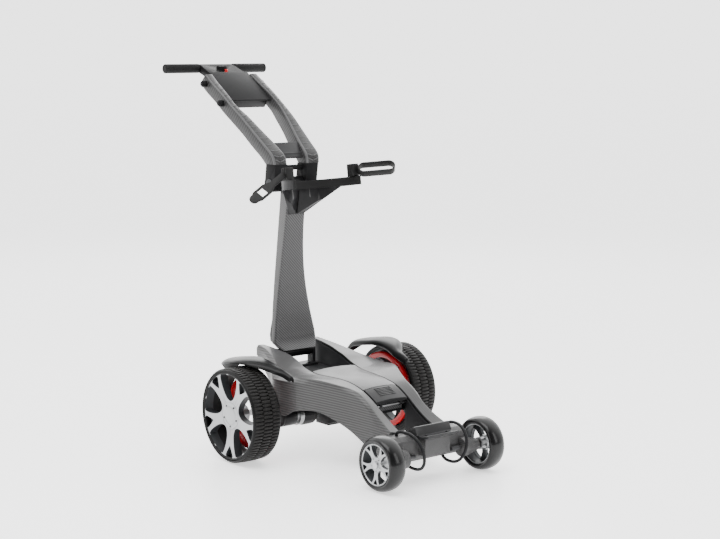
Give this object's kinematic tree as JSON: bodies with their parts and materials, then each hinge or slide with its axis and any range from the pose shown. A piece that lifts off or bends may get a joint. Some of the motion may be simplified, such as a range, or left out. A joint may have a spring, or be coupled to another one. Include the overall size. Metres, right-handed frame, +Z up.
{
  "type": "electric golf trolley",
  "caption": "Electric golf trolley with driven rear wheels, free front wheels, a battery bay, a padded bag cradle, a folding mast and a folding handle.",
  "frame": {"origin": "on the ground under the middle of the rear axle", "axes": "+X forward in the direction of travel, +Y to the trolley's left, +Z up"},
  "size_m": [1.032, 0.616, 1.025],
  "materials": {
    "carbon": "woven grey carbon look, satin clear coat",
    "lid_grey": "satin grey with fine ribs",
    "black_plastic": "fine-grained satin black",
    "gloss_black": "gloss black",
    "motor_metal": "satin black with a bare metal band",
    "steel": "turned steel",
    "wheel_silver": "satin silver paint",
    "red_plastic": "gloss red",
    "tyre_rubber": "moulded tyre rubber",
    "soft_rubber": "soft black rubber"
  },
  "bodies": {
    "chassis": {"chassis_shell": "carbon", "chassis_tray": "black_plastic", "front_crossbar": "carbon", "bag_rest": "black_plastic", "bungee_left": "soft_rubber", "bungee_right": "soft_rubber", "fender_left": "gloss_black", "fender_right": "gloss_black", "mast_bracket": "black_plastic", "mast_pin": "steel", "battery_pack": "carbon", "controller_box": "black_plastic", "gearbox_left": "black_plastic", "gearbox_right": "black_plastic", "gearbox_covers": "black_plastic", "motor_left": "motor_metal", "motor_right": "motor_metal", "rear_bearings": "steel", "front_axles": "steel", "chassis_screws": "steel", "lid_pin": "steel"},
    "battery_lid": {"battery_lid": "lid_grey"},
    "lid_latch": {"lid_latch": "black_plastic"},
    "rear_wheel_left": {"rear_tyre_left": "tyre_rubber", "rear_rim_left": "wheel_silver", "drive_ring_left": "red_plastic", "rear_axle_left": "steel", "wheel_gear_left": "steel"},
    "rear_wheel_right": {"rear_tyre_right": "tyre_rubber", "rear_rim_right": "wheel_silver", "drive_ring_right": "red_plastic", "rear_axle_right": "steel", "wheel_gear_right": "steel"},
    "pinion_left": {"pinion_left": "steel"},
    "pinion_right": {"pinion_right": "steel"},
    "front_wheel_left": {"front_tyre_left": "tyre_rubber", "front_rim_left": "wheel_silver", "front_bearings_left": "steel"},
    "front_wheel_right": {"front_tyre_right": "tyre_rubber", "front_rim_right": "wheel_silver", "front_bearings_right": "steel"},
    "mast": {"mast_shell": "carbon", "mast_spine": "black_plastic", "cradle": "carbon", "cradle_pad": "soft_rubber", "strap_keepers": "black_plastic", "strap_loop": "soft_rubber", "strap_tongue": "soft_rubber"},
    "handle": {"handle_arms": "carbon", "cross_plate": "black_plastic", "handle_bar": "black_plastic", "grips": "soft_rubber", "control_housing": "black_plastic", "control_cover": "black_plastic", "handle_bolts": "black_plastic", "hinge_caps": "black_plastic", "handle_pin": "steel"},
    "fold_lever": {"fold_lever": "black_plastic"},
    "speed_dial": {"speed_dial": "black_plastic"},
    "power_button": {"power_button": "red_plastic"}
  },
  "joints": [
    {"name": "rear_wheel_left_spin", "type": "hinge", "parent": "chassis", "child": "rear_wheel_left", "pos_m": [0, 0.2655, 0.125], "axis": [0, 1, 0], "continuous": true},
    {"name": "rear_wheel_right_spin", "type": "hinge", "parent": "chassis", "child": "rear_wheel_right", "pos_m": [0, -0.2655, 0.125], "axis": [0, 1, 0], "continuous": true},
    {"name": "pinion_left_spin", "type": "hinge", "parent": "chassis", "child": "pinion_left", "pos_m": [0.04238, 0.149, 0.10958], "axis": [0, 1, 0], "continuous": true},
    {"name": "pinion_right_spin", "type": "hinge", "parent": "chassis", "child": "pinion_right", "pos_m": [0.04238, -0.149, 0.10958], "axis": [0, 1, 0], "continuous": true},
    {"name": "front_wheel_left_spin", "type": "hinge", "parent": "chassis", "child": "front_wheel_left", "pos_m": [0.455, 0.165, 0.069], "axis": [0, 1, 0], "continuous": true},
    {"name": "front_wheel_right_spin", "type": "hinge", "parent": "chassis", "child": "front_wheel_right", "pos_m": [0.455, -0.165, 0.069], "axis": [0, 1, 0], "continuous": true},
    {"name": "mast_fold", "type": "hinge", "parent": "chassis", "child": "mast", "pos_m": [-0.125, 0, 0.24], "axis": [0, 1, 0], "range_deg": [0, 75]},
    {"name": "handle_fold", "type": "hinge", "parent": "mast", "child": "handle", "pos_m": [-0.134, 0, 0.707], "axis": [0, 1, 0], "range_deg": [-120, 0]},
    {"name": "fold_lever_turn", "type": "hinge", "parent": "handle", "child": "fold_lever", "pos_m": [-0.128, 0, 0.749], "axis": [0, 1, 0], "range_deg": [0, 35]},
    {"name": "speed_dial_turn", "type": "hinge", "parent": "handle", "child": "speed_dial", "pos_m": [-0.462, 0, 1.01], "axis": [0, 0, 1], "continuous": true},
    {"name": "power_button_press", "type": "slide", "parent": "handle", "child": "power_button", "axis": [0, 0, -1], "range_m": [0, 0.0015], "stiffness_N_per_m": 400},
    {"name": "battery_lid_open", "type": "hinge", "parent": "chassis", "child": "battery_lid", "pos_m": [0.046, 0, 0.204], "axis": [0, 1, 0], "range_deg": [-60, 0]},
    {"name": "lid_latch_open", "type": "hinge", "parent": "chassis", "child": "lid_latch", "pos_m": [0.29, 0, 0.163], "axis": [0, 1, 0], "range_deg": [0, 60]}
  ],
  "couplings": [
    {"joint": "pinion_left_spin", "follows": "rear_wheel_left_spin", "ratio": -4},
    {"joint": "pinion_right_spin", "follows": "rear_wheel_right_spin", "ratio": -4}
  ]
}
